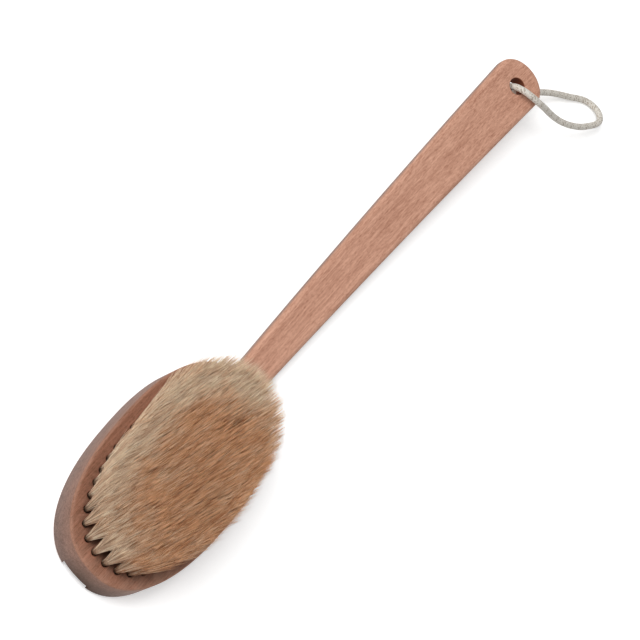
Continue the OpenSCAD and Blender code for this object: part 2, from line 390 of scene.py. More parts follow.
def head_block():
    """The head: outlines carried up from the back to the face, drawn in along a quarter
    circle at both edges, and further in on the flat sides. The groove's cutter is a
    dovetail that widens again at its mouth."""
    back_in, back_up = rounded_edge(BACK_EDGE_R)
    face_in, face_up = rounded_edge(FACE_EDGE_R)
    flat = FLAT_INSET * HEAD_HALF_W
    inset = np.concatenate([[flat, BACK_EDGE_R + HOLD], back_in, face_in[::-1],
                            [FACE_EDGE_R + HOLD, flat]])
    height = np.concatenate([[0, 0], back_up, HEAD_T - face_up[::-1], [HEAD_T, HEAD_T]])
    plan = head_outline(inset, HEAD_POINTS) + [HEAD_X, 0]
    piece = closed_loft("head_wood", raised(plan, height))
    mouth = GROOVE_MOUTH_W / 2 + GROOVE_EASE
    eased = groove_width(GROOVE_EASE) / 2
    groove = prism_along_x("groove_cutter", TIP_X - CUT_PAST, TAIL_X + CUT_PAST, [
        (-mouth - CUT_PAST, -CUT_PAST), (mouth + CUT_PAST, -CUT_PAST), (mouth, 0),
        (eased, GROOVE_EASE), (GROOVE_W / 2, GROOVE_DEPTH), (-GROOVE_W / 2, GROOVE_DEPTH),
        (-eased, GROOVE_EASE), (-mouth, 0)])
    return carved(piece, ("DIFFERENCE", groove), ("DIFFERENCE", hole_cutters()))


def handle_loops():
    """The handle's loops, from its underside to its top (layers, points, 3). A loop runs
    down one side of the plan, round the end as a quarter ellipse, and back as the mirror
    image. It is drawn in along a quarter circle at both edges and lifted along the bow."""
    edge_in, edge_up = rounded_edge(HANDLE_EDGE_R)
    hold = HANDLE_EDGE_R + HOLD
    inset = np.concatenate([[hold], edge_in, edge_in[::-1], [hold]])[:, None]
    half = HANDLE_T / 2
    height = np.concatenate([[-half], edge_up - half, half - edge_up[::-1], [half]])[:, None]
    flank_x = np.linspace(TAIL_X - BACK_EDGE_R, CAP_X, HANDLE_FLANK_STEPS, endpoint=False)
    turn = np.linspace(0, np.pi / 2, HANDLE_CAP_STEPS, endpoint=False)
    ones = np.ones_like(inset)
    x = np.concatenate([flank_x * ones, CAP_X + (END_CAP_L - inset) * np.sin(turn)], axis=1)
    y = np.concatenate([half_width(flank_x) - inset, (END_W / 2 - inset) * np.cos(turn)], axis=1)
    x, y = np.concatenate([x, x[:, ::-1]], axis=1), np.concatenate([y, -y[:, ::-1]], axis=1)
    return np.stack([x, y, bow_z(x) + height], axis=2)


def handle_blank():
    """The handle before it is cut: a grid round its edge, and strips from side to side
    over its top and its underside."""
    loops = handle_loops()
    m, n, _ = loops.shape
    j = np.arange(n // 2 - 1)
    strips = np.stack([j, j + 1, n - 2 - j, n - 1 - j], axis=1)
    top = (m - 1) * n + strips
    quads = np.concatenate([strips, top[:, ::-1], grid_faces(m, n)[:, ::-1]])
    return mesh_object("handle_wood", loops.reshape(-1, 3), split(quads))


def head_room():
    """The space that the head takes from the handle's shoulder."""
    plan = head_outline(-SHOULDER_CLEAR, HEAD_POINTS) + [HEAD_X, 0]
    return closed_loft("head_room", raised(plan, [-CUT_PAST, HEAD_T]))


def tongue():
    """The dovetail tongue, one piece with the handle."""
    high = GROOVE_DEPTH - SLIDE_CLEAR
    low_half = groove_width(TONGUE_LIFT) / 2 - SLIDE_CLEAR
    high_half = groove_width(high) / 2 - SLIDE_CLEAR
    return prism_along_x("tongue", TIP_X + TONGUE_SETBACK, TAIL_X + NECK_W / 2, [
        (-low_half, TONGUE_LIFT), (low_half, TONGUE_LIFT), (high_half, high), (-high_half, high)])


def cord_hole_cutter():
    """The hanging hole as a radius for each height, turned about an axis square to the
    bow. Its two mouths open along a quarter circle."""
    half = HANDLE_T / 2
    flare_in, flare_out = rounded_edge(CORD_HOLE_EASE)
    flare_z, flare_r = half - flare_in, CORD_HOLE_R + flare_out
    height = np.concatenate([[-2 * half], -flare_z[::-1], flare_z, [2 * half]])
    radius = np.concatenate([[flare_r[-1]], flare_r[::-1], flare_r, [flare_r[-1]]])
    slope = bow_slope(CORD_HOLE_X)
    along = np.array([math.cos(slope), 0, math.sin(slope)])
    up = np.array([-math.sin(slope), 0, math.cos(slope)])
    across = around(full_turn(CORD_HOLE_SIDES), along, np.array([0, 1, 0]))
    rows = radius[:, None, None] * across + height[:, None, None] * up
    return closed_loft("cord_hole_cutter", rows + [CORD_HOLE_X, 0, bow_z(CORD_HOLE_X)])


def handle():
    """The handle with its shoulder cut back from the head, its tongue and its hole."""
    return carved(handle_blank(), ("DIFFERENCE", head_room()), ("UNION", tongue()),
                  ("DIFFERENCE", cord_hole_cutter()))


# ---- Bristles ----

HAIRS_PER_TUFT = 205
LOCKS_PER_TUFT = 30
HAIR_R = 0.128 * MM
THINNEST, THICKEST = 0.7, 1.25  # hairs, as shares of HAIR_R
HAIR_TAPER = 0.65  # share of its radius that a hair loses to its tip
HAIR_STATIONS = np.array([0, 0.4, 0.78, 1])  # where its rings of points and its tip stand
HAIR_SIDES = 3

# "VARIES" is how much from hair to hair, from lock to lock and from tuft to tuft. "OUTER"
# is for the outer ring of tufts.
ROOT_SPREAD = 1.4 * MM  # radius of a tuft in its hole
ROOT_SHIFT = 0.4 * MM  # how far it sits off the middle of its hole, to +X
ROOT_DEPTH = 2.5 * MM
MIDDLE_UP = 0.42  # height of a hair's middle point, as a share of its reach
MIDDLE_ROOT = 0.6  # share of the root's spread that is left there
OPENED, OUTER_OPENED = 0.85, 0.15  # share of the tip's spread that is reached there
WANDER = 0.12 * MM  # how far that point is off its course
TIP_SPREAD = 6.615 * MM  # radius of a free tuft at its tips
RIM_SPREAD = 0.42  # share of it that the outer ring keeps on its rim side
OVERLAP, OUTER_OVERLAP = 1.15, 1.4  # reach of the tips towards the next tuft, 1 is half-way
GATHERED, OUTER_GATHERED = 0.35, 0.12  # how far tips draw to their lock's middle, at most
STRAYS, OUTER_STRAY = 0.08, 1.4  # share of hairs that stray, and how much further outside
STRAY, UNEVEN = 1.0 * MM, 0.3 * MM  # how far they stray, and how far the others do
TUFT_PUSH = 0.3 * MM  # how far a whole tuft's tips are pushed aside
REACH, MOST_REACH = BRISTLE_L - 0.4 * MM, BRISTLE_L + 1.0 * MM
REACH_VARIES = (0.5 * MM, 0.3 * MM, 0.12 * MM)
TUFT_DOME, OUTER_DOME = 2.8 * MM, 0.6  # how much shorter a tuft's outermost hairs are
BRISTLE_LEAN = 3.2 * MM  # how far use has pushed all the tips to +Y
TIP_SHIFT = 0.6 * MM  # how far they stand off to +X
TIP_COMB = 5.6 * MM  # how far the tips bend over, to +X
COMB_SIDE, COMB_TURN = -0.38, 0.13  # share of that to +Y, and how it changes along the field
COMB_VARIES = (1.3 * MM, 0.6 * MM)
HELD_BACK = 0.75  # share of the comb by which the tufts near the handle lean the other way
MIDDLE_LEAN, MIDDLE_COMB = 0.3, -0.25  # shares of the lean and the comb at a hair's middle
TONE_VARIES = (0.44, 0.15, 0.05)
PALE_VARIES = (0.28, 0.15, 0.12)
DARK_TONE, DARK_HAIRS = -0.7, 0.014  # a dark hair's tone, and the share of them anywhere
DARK_LOCKS, IN_DARK_LOCKS = 0.045, 0.45  # share of dark locks, and of dark hairs in them


def disc(*shape):
    """Even random places in a unit disc, as an array of the given shape and two columns."""
    turn = 2 * np.pi * rng.random(shape)
    return np.sqrt(rng.random(shape))[..., None] * around(turn, *np.eye(2))


def room(at, heading):
    """How far from each place the tips can spread along its heading before they are
    half-way to another tuft: the square of the way there, over twice its part along
    the heading, and the least of these."""
    everyone = np.concatenate([group for group, _ in TUFT_GROUPS.values()])
    way = everyone[None] - at[:, None]
    square = (way ** 2).sum(2)
    ahead = np.maximum((way * heading[:, None]).sum(2), 1e-6)
    return np.where(square > 1e-9, square / (2 * ahead), np.inf).min(1)


def field_place(at):
    """Where points stand in the bristle field: -1 to 1 along it and across it."""
    return ((at[:, 0] - HEAD_X) / (HEAD_HALF_L - RIM_W), at[:, 1] / (HEAD_HALF_W - RIM_W))


def paleness(at):
    """How pale the hairs are by where their tips stand: palest round the rim of the
    bristle field and towards the handle, tan in its middle and on the -Y side."""
    u, v = field_place(at)
    rim = smoothstep(0.5, 1.15, np.sqrt(u ** 2 + v ** 2)) * smoothstep(-0.5, 0.1, v)
    return np.clip(rim + 0.7 * smoothstep(0.4, 1.0, u), 0, 1)


class Hairs:
    """The hairs of some tufts: each one's tuft and lock, its spot in the unit disc that
    stands for its tuft, and the spot of its lock."""

    def __init__(self, tufts):
        self.tufts = tufts
        self.count = tufts * HAIRS_PER_TUFT
        self.tuft = np.repeat(np.arange(tufts), HAIRS_PER_TUFT)
        self.spot = disc(self.count)
        locks = disc(tufts, LOCKS_PER_TUFT)
        self.lock = np.linalg.norm(self.spot[:, None] - locks[self.tuft], axis=2).argmin(1)
        self.lock_spot = locks[self.tuft, self.lock]
        self.outwards = (self.spot ** 2).sum(1)

    def varied(self, hair, lock, tuft=None):
        """A random number for each hair: its own, its lock's and its tuft's added up, each
        of the given size."""
        total = hair * rng.normal(size=self.count)
        total += lock * rng.normal(size=(self.tufts, LOCKS_PER_TUFT))[self.tuft, self.lock]
        if tuft is not None:
            total += tuft * rng.normal(size=self.tufts)[self.tuft]
        return total


def tip_spread(hairs, places, axes, u, v, outer):
    """How far each hair's tip stands from its tuft's axis (hairs, 2): its spot, drawn a
    little to its lock's, times the room that the tuft has there. The outer ring spreads
    less towards the rim, and some hairs stray."""
    heading = np.einsum("nk,nkj->nj", unit(hairs.spot), axes[:, :2, :2])
    overlap = OUTER_OVERLAP if outer else OVERLAP
    free = np.minimum(overlap * room(places[hairs.tuft], heading), TIP_SPREAD)
    gathered = (OUTER_GATHERED if outer else GATHERED) * rng.random(hairs.count)[:, None]
    spread = free[:, None] * ((1 - gathered) * hairs.spot + gathered * hairs.lock_spot)
    if outer:
        by_handle = smoothstep(-0.2, 0.5, u) * smoothstep(0.95, 0.6, u) * smoothstep(-0.1, 0.4, v)
        rim = RIM_SPREAD + (1 - RIM_SPREAD) * by_handle
        rim += 0.4 * smoothstep(0, -0.6, v) * smoothstep(0.3, 0, u)
        spread[:, 0] *= np.where(spread[:, 0] > 0, rim, 1)
    stray = np.where(rng.random(hairs.count) < STRAYS, STRAY, UNEVEN)[:, None]
    stray = stray * (OUTER_STRAY if outer else 1)
    return spread + stray * rng.normal(size=(hairs.count, 2))


def hair_curves(hairs, places, lean, outer):
    """Points and headings along each hair (hairs, stations, 3). A hair is a quadratic
    curve from its place in the hole, by a point above it, to its tip, and the comb bends
    it over by the cube of the way along."""
    mouth, axes = (part[hairs.tuft] for part in tuft_frames(places, lean))
    u, v = field_place(mouth)
    spread = tip_spread(hairs, places, axes, u, v, outer)
    pushed = spread + TUFT_PUSH * rng.normal(size=(hairs.tufts, 2))[hairs.tuft]
    reach = REACH + hairs.varied(*REACH_VARIES)
    reach -= (OUTER_DOME if outer else 1) * TUFT_DOME * hairs.outwards ** 1.5
    reach = np.minimum(reach, MOST_REACH)

    def place(across, along):
        local = np.concatenate([across, np.broadcast_to(along, hairs.count)[:, None]], axis=1)
        return mouth + np.einsum("nk,nkj->nj", local, axes)

    root = place(ROOT_SPREAD * hairs.spot, -ROOT_DEPTH) + [ROOT_SHIFT, 0, 0]
    opened = (OUTER_OPENED + 0.3 * smoothstep(0, 0.6, u)[:, None]) if outer else OPENED
    wander = WANDER * rng.normal(size=(hairs.count, 2))
    across = MIDDLE_ROOT * ROOT_SPREAD * hairs.spot + opened * spread + wander
    middle = place(across, MIDDLE_UP * reach)
    middle = middle + [ROOT_SHIFT + MIDDLE_COMB * TIP_COMB, MIDDLE_LEAN * BRISTLE_LEAN, 0]
    tip = place(pushed, reach) + [TIP_SHIFT, BRISTLE_LEAN, 0]
    held_back = HELD_BACK * TIP_COMB * smoothstep(-0.2, 0.8, u)
    middle[:, 0] -= 0.5 * held_back
    tip[:, 0] -= held_back

    t = HAIR_STATIONS[:, None]
    root, middle, tip = root[:, None], middle[:, None], tip[:, None]
    line = (1 - t) ** 2 * root + 2 * t * (1 - t) * middle + t ** 2 * tip
    heading = 2 * (1 - t) * (middle - root) + 2 * t * (tip - middle)
    x, y, _ = np.eye(3)
    way = x + (COMB_SIDE + COMB_TURN * u)[:, None] * y
    comb = ((TIP_COMB + hairs.varied(*COMB_VARIES))[:, None] * way)[:, None]
    return line + comb * t ** 3, unit(heading + 3 * comb * t ** 2), tip[:, 0]


def hair_mesh(name, line, heading):
    """Three-sided skins along the given curves, each closed at its root and pointed at
    its tip. Their radius falls with the cube of the way along."""
    count, stations, _ = line.shape
    rings = stations - 1
    one, two = across_axes(heading, (0.9, 0.3, 0.3))
    thick = HAIR_R * rng.uniform(THINNEST, THICKEST, count)[:, None, None]
    thick = thick * (1 - HAIR_TAPER * HAIR_STATIONS[:, None] ** 3)
    phase = 2 * np.pi * (rng.random(count)[:, None] + np.arange(HAIR_SIDES) / HAIR_SIDES)
    ring = around(phase[:, None], one[:, :, None], two[:, :, None])
    skin = line[:, :-1, None] + thick[:, :-1, None] * ring[:, :-1]
    points = np.concatenate([skin.reshape(count, -1, 3), line[:, -1:]], axis=1)
    per_hair = points.shape[1]

    last = (rings - 1) * HAIR_SIDES + np.arange(HAIR_SIDES)
    cap = np.stack([last, np.roll(last, -1), np.full(HAIR_SIDES, per_hair - 1)], axis=1)
    one_hair = np.concatenate([split(grid_faces(rings, HAIR_SIDES)), cap, [[0, 2, 1]]])
    faces = (one_hair[None] + (np.arange(count) * per_hair)[:, None, None]).reshape(-1, 3)
    piece = mesh_object(name, points.reshape(-1, 3), faces)
    piece.data.shade_smooth()
    reach = np.concatenate([np.repeat(HAIR_STATIONS[:-1], HAIR_SIDES), [1]])
    point_attribute(piece, "reach", np.broadcast_to(reach, (count, per_hair)))
    return piece, per_hair


def bristles(name, places, lean):
    """The hairs of a group of tufts. The tips of a tuft gather in locks, each of its own
    length and tone, and some locks are dark where the field isn't pale."""
    hairs = Hairs(len(places))
    line, heading, tip = hair_curves(hairs, places, lean, outer=name == "ring_1")
    piece, per_hair = hair_mesh("bristles_" + name, line, heading)

    u, _ = field_place(places[hairs.tuft] + [HEAD_X, 0])
    # The outer hairs of each tuft get a lower tone: painted shade in the gaps between tufts.
    tone = 0.7 + 0.1 * u + hairs.varied(*TONE_VARIES) - 0.5 * hairs.outwards
    dark_locks = rng.random((hairs.tufts, LOCKS_PER_TUFT)) < DARK_LOCKS
    in_dark = dark_locks[hairs.tuft, hairs.lock]
    share = DARK_HAIRS + IN_DARK_LOCKS * in_dark * (1 - paleness(tip)) ** 2
    tone = np.where(rng.random(hairs.count) < share, DARK_TONE, np.clip(tone, 0, 1))
    point_attribute(piece, "tone", np.repeat(tone, per_hair))
    pale = np.clip(paleness(tip) + hairs.varied(*PALE_VARIES), 0, 1)
    point_attribute(piece, "pale", np.repeat(pale, per_hair))
    return piece


# ---- Cord ----

ROUTE_STEPS = 24  # points that a stretch of the route is first cut into
BRAID_STEP = 0.4 * MM
BRAID_SIDES = 40
BRAID_STRANDS = 8
BRAID_PITCH = 7.5 * MM  # length in which a strand goes once round
BRAID_RELIEF = 0.14  # share of the cord's radius that the strands stand out


def smooth_route(points, spacing):
    """A Catmull-Rom curve through the points, resampled at even spacing: the points
    (n, 3), and how far along the curve each one is."""
    ends = np.concatenate([2 * points[:1] - points[1:2], points, 2 * points[-1:] - points[-2:-1]])
    t = np.linspace(0, 1, ROUTE_STEPS, endpoint=False)[None, :, None]
    a, b, c, d = (ends[k:len(ends) - 3 + k, None] for k in range(4))
    curve = 0.5 * (2 * b + (c - a) * t + (2 * a - 5 * b + 4 * c - d) * t ** 2
                   + (3 * b - a - 3 * c + d) * t ** 3)
    curve = np.concatenate([curve.reshape(-1, 3), points[-1:]])
    way = way_along(curve)
    at = np.linspace(0, way[-1], round(way[-1] / spacing) + 1)
    return at_ways(curve, way, at), at


def braided_tube(name, route, diameter):
    """A braid of round strands: two families of helices wind opposite ways, and at each
    crossing one lies over the other in turn. The surface stands out by the round back of
    whichever strand is on top, and sinks between strands."""
    line, way = smooth_route(route, BRAID_STEP)
    one, two = across_axes(unit(np.gradient(line, axis=0)), (0.31, 0.92, 0.24))
    turn = full_turn(BRAID_SIDES)
    round_it, along = np.meshgrid(turn / (2 * np.pi), way / BRAID_PITCH)
    left, right = BRAID_STRANDS * (round_it + along), BRAID_STRANDS * (round_it - along)
    over = (np.floor(left) + np.floor(right)) % 2 < 1
    left_back, right_back = np.sin(np.pi * (left % 1)), np.sin(np.pi * (right % 1))
    back, under = np.where(over, [right_back, left_back], [left_back, right_back])
    relief = 0.75 * np.sqrt(back) + 0.25 * under
    radius = diameter / 2 * (1 - BRAID_RELIEF + BRAID_RELIEF * relief)
    rows = line[:, None] + radius[..., None] * around(turn, one[:, None], two[:, None])
    piece = closed_loft(name, rows)
    piece.data.shade_smooth()
    strand = np.where(over, np.floor(right) % BRAID_STRANDS,
                      BRAID_STRANDS + np.floor(left) % BRAID_STRANDS)
    yarn = rng.random(2 * BRAID_STRANDS)[strand.astype(int)]
    for label, values, at_ends in (("relief", relief, relief.mean()), ("yarn", yarn, 0.5)):
        point_attribute(piece, label, np.concatenate([values.ravel(), [at_ends, at_ends]]))
    return piece


def knot():
    """The overhand knot under the handle: a trefoil curve of the same cord, pulled tight."""
    turn = np.linspace(0, 2 * np.pi, 40)
    shape = np.stack([np.sin(turn) + 2 * np.sin(2 * turn), -np.sin(3 * turn),
                      np.cos(turn) - 2 * np.cos(2 * turn)], axis=1)
    middle = np.mean(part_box("cord_knot"), axis=0)
    return braided_tube("knot_cotton", middle + KNOT_SIZE * shape, KNOT_D)


def tail(name, route):
    """A loose end of the cord beyond the knot."""
    return braided_tube(name, np.array(route) * MM, TAIL_D)


# ---- Materials ----

HEAD_WOOD = ((0.43, 0.20, 0.13), (0.16, 0.068, 0.038))  # light and dark grain
HEAD_WALL = ((0.33, 0.228, 0.195), (0.13, 0.086, 0.072))
HANDLE_WOOD = ((0.80, 0.46, 0.33), (0.36, 0.16, 0.10))
# Painted shade: the darker, greyer colours of the handle's sides below the rounding.
HANDLE_SHADED_WALL = ((0.27, 0.2, 0.175), (0.2, 0.14, 0.115))
# Paler wood for rubbed edges, also used as painted light on the head face's -Y rim.
RUBBED_AND_LIT_WOOD = (0.75, 0.5, 0.38)
# Painted shade: the dark colour that the third wood mask mixes in.
PAINTED_SHADE_BROWN = (0.07, 0.036, 0.021)
# Dark inside the drilled cord hole: its end grain, plus painted shade in the hole.
DRILLED_GRAIN_AND_SHADE = (0.2, 0.06, 0.03)
# The first colour is painted shade on the hairs' roots inside the hole.
SHADED_HAIR_ROOT, HAIR_LOW, HAIR_HIGH = (0.88, 0.66, 0.50), (1.0, 0.86, 0.66), (1.0, 0.81, 0.59)
TAN_TIP, PALE_TIP = (0.87, 0.46, 0.228), (1.0, 0.90, 0.69)
# The first colour: some hairs' own browner tone, and painted shade in the gaps between tufts.
BROWN_HAIR_AND_GAP_SHADE, BLACK_HAIR = (0.42, 0.165, 0.07), (0.04, 0.025, 0.015)
PALE_YARN, BEIGE_YARN = (0.78, 0.74, 0.67), (0.34, 0.27, 0.2)
# The first colour flecks the yarn; the second is painted shade between the yarns.
YARN_FLECK, YARN_GAP_SHADE = (0.42, 0.35, 0.27), (0.25, 0.21, 0.16)
ZINC, BRIGHT_ZINC = (0.50, 0.51, 0.52), (0.68, 0.68, 0.67)
SHEEN_TINT = (1.0, 0.78, 0.55)

FLECK_STRENGTH, STREAK_STRENGTH, PORE_STRENGTH = 0.85, 0.5, 0.3
RUB_AND_LIGHT_STRENGTH = 0.28
GRAIN_RELIEF, YARN_RELIEF, WIRE_RELIEF = 0.12 * MM, 0.1 * MM, 0.02 * MM


def new_group(name, inputs, outputs):
    """A shader node group. Its sockets in and out are given as their labels and kinds."""
    group = bpy.data.node_groups.new(name, "ShaderNodeTree")
    for in_out, sockets in (("INPUT", inputs), ("OUTPUT", outputs)):
        for label, kind in sockets.items():
            group.interface.new_socket(label, in_out=in_out, socket_type="NodeSocket" + kind)
    return group, group.nodes.new("NodeGroupInput"), group.nodes.new("NodeGroupOutput")


def node(tree, kind, **settings):
    """A new node with the given settings."""
    made = tree.nodes.new("ShaderNode" + kind)
    for key, value in settings.items():
        setattr(made, key, value)
    return made


def wired(tree, *pairs):
    """Links (from socket, to socket) pairs."""
    for source, target in pairs:
        tree.links.new(source, target)


def feed(tree, sockets, values):
    """Gives each socket its number or its colour, or links the socket that is given."""
    for socket, value in zip(sockets, values):
        if isinstance(value, bpy.types.NodeSocket):
            tree.links.new(value, socket)
        else:
            socket.default_value = (*value, 1) if isinstance(value, tuple) else value


def maths(tree, operation, a, b=0.5, clamp=False):
    """A Math node on numbers or sockets. Like most helpers below, it returns the output."""
    made = node(tree, "Math", operation=operation, use_clamp=clamp)
    feed(tree, made.inputs, (a, b))
    return made.outputs[0]


def weighted(tree, a, share_a, b, share_b, clamp=False):
    """a times its share plus b times its share, on numbers or sockets."""
    return maths(tree, "ADD", maths(tree, "MULTIPLY", a, share_a),
                 maths(tree, "MULTIPLY", b, share_b), clamp=clamp)


def stretch(tree, value, low, high, to_low=0.0, to_high=1.0):
    """A Map Range node with clamping."""
    made = node(tree, "MapRange", clamp=True)
    feed(tree, made.inputs, (value, low, high, to_low, to_high))
    return made.outputs["Result"]


def mixed(tree, factor, a, b):
    """A colour Mix node on colours or sockets, by a factor socket."""
    made = node(tree, "Mix", data_type="RGBA", clamp_factor=True)
    feed(tree, (made.inputs[0], made.inputs[6], made.inputs[7]), (factor, a, b))
    return made.outputs[2]


def vector_maths(tree, operation, a, b):
    """A Vector Math node on a socket and a constant. Returns the node."""
    made = node(tree, "VectorMath", operation=operation)
    tree.links.new(a, made.inputs[0])
    made.inputs[1].default_value = b
    return made


def noise(tree, at, per_metre, detail, roughness, distortion=0.0):
    """A Noise Texture with so many waves to the metre along X, Y and Z."""
    made = node(tree, "TexNoise")
    for label, number in (("Scale", 1), ("Detail", detail), ("Roughness", roughness),
                          ("Distortion", distortion)):
        made.inputs[label].default_value = number
    scaled = vector_maths(tree, "MULTIPLY", at, per_metre)
    tree.links.new(scaled.outputs["Vector"], made.inputs["Vector"])
    return made.outputs[0]


def used(tree, group, at):
    """A node that uses the group at the given coordinates."""
    made = tree.nodes.new("ShaderNodeGroup")
    made.node_tree = group
    tree.links.new(at, made.inputs["Vector"])
    return made


def wood_group():
    """Fine beech: long soft streaks along X, short dark flecks, and tiny pores. It puts out
    the colour, the roughness and the height of the raised grain."""
    group, given, result = new_group(
        "beech_grain", dict(Vector="Vector", Light="Color", Dark="Color"),
        dict(Color="Color", Roughness="Float", Height="Float"))
    at = given.outputs["Vector"]
    streaks = noise(group, at, (7, 620, 620), 4, 0.65, 0.15)
    bands = noise(group, at, (2.5, 70, 70), 2, 0.5, 0.3)
    mottle = noise(group, at, (22, 90, 90), 3, 0.6)
    flecks = noise(group, at, (440, 2100, 2100), 2, 0.55)
    fibres = noise(group, at, (45, 1900, 1900), 3, 0.75)
    pores = noise(group, at, (1100, 5200, 5200), 1, 0.5)
    streak = weighted(group, streaks, 0.65, bands, 0.35)
    streak = weighted(group, streak, 0.86, mottle, 0.14)
    fine = weighted(group, stretch(group, fibres, 0.3, 0.7), 0.6,
                    stretch(group, flecks, 0.5, 0.7), 0.4)
    dark = weighted(group, stretch(group, streak, 0.38, 0.66), STREAK_STRENGTH,
                    fine, FLECK_STRENGTH, clamp=True)
    dark = weighted(group, dark, 1.0, stretch(group, pores, 0.5, 0.75), PORE_STRENGTH, clamp=True)
    wired(group,
          (mixed(group, dark, given.outputs["Light"], given.outputs["Dark"]),
           result.inputs["Color"]),
          (stretch(group, dark, 0, 1, 0.52, 0.7), result.inputs["Roughness"]),
          (maths(group, "SUBTRACT", 1.0, dark), result.inputs["Height"]))
    return group


def edge_group():
    """Rubbed edges and painted light: a rubbed edge, and the head face's -Y rim where painted
    light stands for light falling on it, show a paler wood, broken up by noise.
    """
    group, given, result = new_group(
        "rubbed_edges_and_painted_light", dict(Vector="Vector", Color="Color", Edge="Float"),
        dict(Color="Color", Roughness="Float"))
    worn_and_lit = noise(group, given.outputs["Vector"], (160, 300, 300), 3, 0.6)
    worn_and_lit = maths(group, "MULTIPLY", stretch(group, worn_and_lit, 0.3, 0.6, 0.35, 1),
                 given.outputs["Edge"])
    worn_and_lit = maths(group, "MULTIPLY", worn_and_lit, RUB_AND_LIGHT_STRENGTH, clamp=True)
    wired(group, (mixed(group, worn_and_lit, given.outputs["Color"], RUBBED_AND_LIT_WOOD), result.inputs["Color"]),
          (stretch(group, worn_and_lit, 0, 1, 0.6, 0.48), result.inputs["Roughness"]))
    return group


def hole_group():
    """1 inside the drilled cord hole and 0 outside, by the distance from its axis."""
    group, given, result = new_group("drilled_hole", dict(Vector="Vector"),
                                     dict(Inside="Float"))
    slope = bow_slope(CORD_HOLE_X)
    from_axis = vector_maths(group, "SUBTRACT", given.outputs["Vector"],
                             (CORD_HOLE_X, 0, bow_z(CORD_HOLE_X)))
    squares = []
    for direction in ((math.cos(slope), 0, math.sin(slope)), (0, 1, 0)):
        part = vector_maths(group, "DOT_PRODUCT", from_axis.outputs["Vector"], direction)
        squares.append(maths(group, "POWER", part.outputs["Value"], 2.0))
    distance = maths(group, "SQRT", maths(group, "ADD", *squares))
    wired(group, (stretch(group, distance, CORD_HOLE_R + 0.15 * MM, CORD_HOLE_R + 0.5 * MM, 1, 0),
                  result.inputs["Inside"]))
    return group


def new_material(name, roughness=0.6, **sockets):
    """A material with one Principled BSDF. Returns the material, its tree and the BSDF."""
    material = bpy.data.materials.new(name)
    material.use_nodes = True
    tree = material.node_tree
    shader = tree.nodes["Principled BSDF"]
    shader.inputs["Roughness"].default_value = roughness
    for label, value in sockets.items():
        shader.inputs[label.replace("_", " ")].default_value = value
    return material, tree, shader


def bumped(tree, shader, height, strength, distance):
    """Feeds a height into the shader's Normal."""
    bump = node(tree, "Bump")
    bump.inputs["Strength"].default_value = strength
    bump.inputs["Distance"].default_value = distance
    wired(tree, (height, bump.inputs["Height"]),
          (bump.outputs["Normal"], shader.inputs["Normal"]))


def attribute(tree, name):
    """The piece's own number at each point."""
    return node(tree, "Attribute", attribute_name=name).outputs["Fac"]


def wood_material(name, grain, edges, face, wall, hole=None):
    """Bare sanded beech in light and dark grain. The wall attribute turns its sides to the wall
    colours: greyer on the head, painted shade on the handle. A third attribute darkens it as
    painted shade, the edge attribute pales its rubbed edges and paints light on the head
    face's -Y rim, and the hole group browns the drilled hole: end grain plus painted shade."""
    material, tree, shader = new_material(name, Specular_IOR_Level=0.12)
    at = node(tree, "TexCoord").outputs["Object"]
    parts = []
    for colours in (face, wall):
        part = used(tree, grain, at)
        feed(tree, (part.inputs["Light"], part.inputs["Dark"]), colours)
        parts.append(part)
    # The wall colours: greyer on the head's sides, and painted shade on the handle's sides.
    colour = mixed(tree, attribute(tree, "wall"), parts[0].outputs["Color"],
                   parts[1].outputs["Color"])
    # Painted shade from the third mask: the head's side round the tip, and its face round the tufts
    # near the tip.
    colour = mixed(tree, attribute(tree, "painted_shade"), colour, PAINTED_SHADE_BROWN)
    if hole:
        # Inside the cord hole: end grain, plus painted shade.
        colour = mixed(tree, used(tree, hole, at).outputs["Inside"], colour, DRILLED_GRAIN_AND_SHADE)
    worn_and_lit = used(tree, edges, at)
    wired(tree, (colour, worn_and_lit.inputs["Color"]), (attribute(tree, "edge"), worn_and_lit.inputs["Edge"]),
          (worn_and_lit.outputs["Color"], shader.inputs["Base Color"]),
          (worn_and_lit.outputs["Roughness"], shader.inputs["Roughness"]))
    bumped(tree, shader, parts[0].outputs["Height"], 0.35, GRAIN_RELIEF)
    return material


def bristle_material():
    """Pale natural bristle: a little darker in the hole as painted shade, cream along its length
    and tan or pale at its tip, each hair lighter or browner than the next, with painted shade
    in the gaps between tufts browning their outer hairs, less where the field is pale, and
    some nearly black."""
    material, tree, shader = new_material("natural_bristle", 0.5, Specular_IOR_Level=0.15,
                                          Sheen_Weight=0.2, Sheen_Roughness=0.45)
    shader.inputs["Sheen Tint"].default_value = (*SHEEN_TINT, 1)
    reach, tone, pale = (attribute(tree, label) for label in ("reach", "tone", "pale"))
    # The ramp: painted shade on the roots inside the hole, then cream along the hair.
    ramp = node(tree, "ValToRGB")
    stops = ramp.color_ramp.elements
    stops.new(0.1)
    for stop, colour in zip(stops, (SHADED_HAIR_ROOT, HAIR_LOW, HAIR_HIGH)):
        stop.color = (*colour, 1)
    tree.links.new(reach, ramp.inputs[0])
    tip = mixed(tree, maths(tree, "MULTIPLY", pale, 0.85), TAN_TIP, PALE_TIP)
    colour = mixed(tree, stretch(tree, reach, 0.45, 0.95), ramp.outputs[0], tip)
    # Each hair's own tone browns it, and this also carries the painted shade of the gaps between
    # tufts, less in the pale field.
    brown = maths(tree, "MULTIPLY", stretch(tree, tone, 0.05, 0.7, 1.0, 0.0),
                  stretch(tree, pale, 0, 1, 1.0, 0.6))
    colour = mixed(tree, brown, colour, BROWN_HAIR_AND_GAP_SHADE)
    colour = mixed(tree, stretch(tree, tone, -0.9, -0.1, 0.92, 0.0), colour, BLACK_HAIR)
    tree.links.new(colour, shader.inputs["Base Color"])
    return material


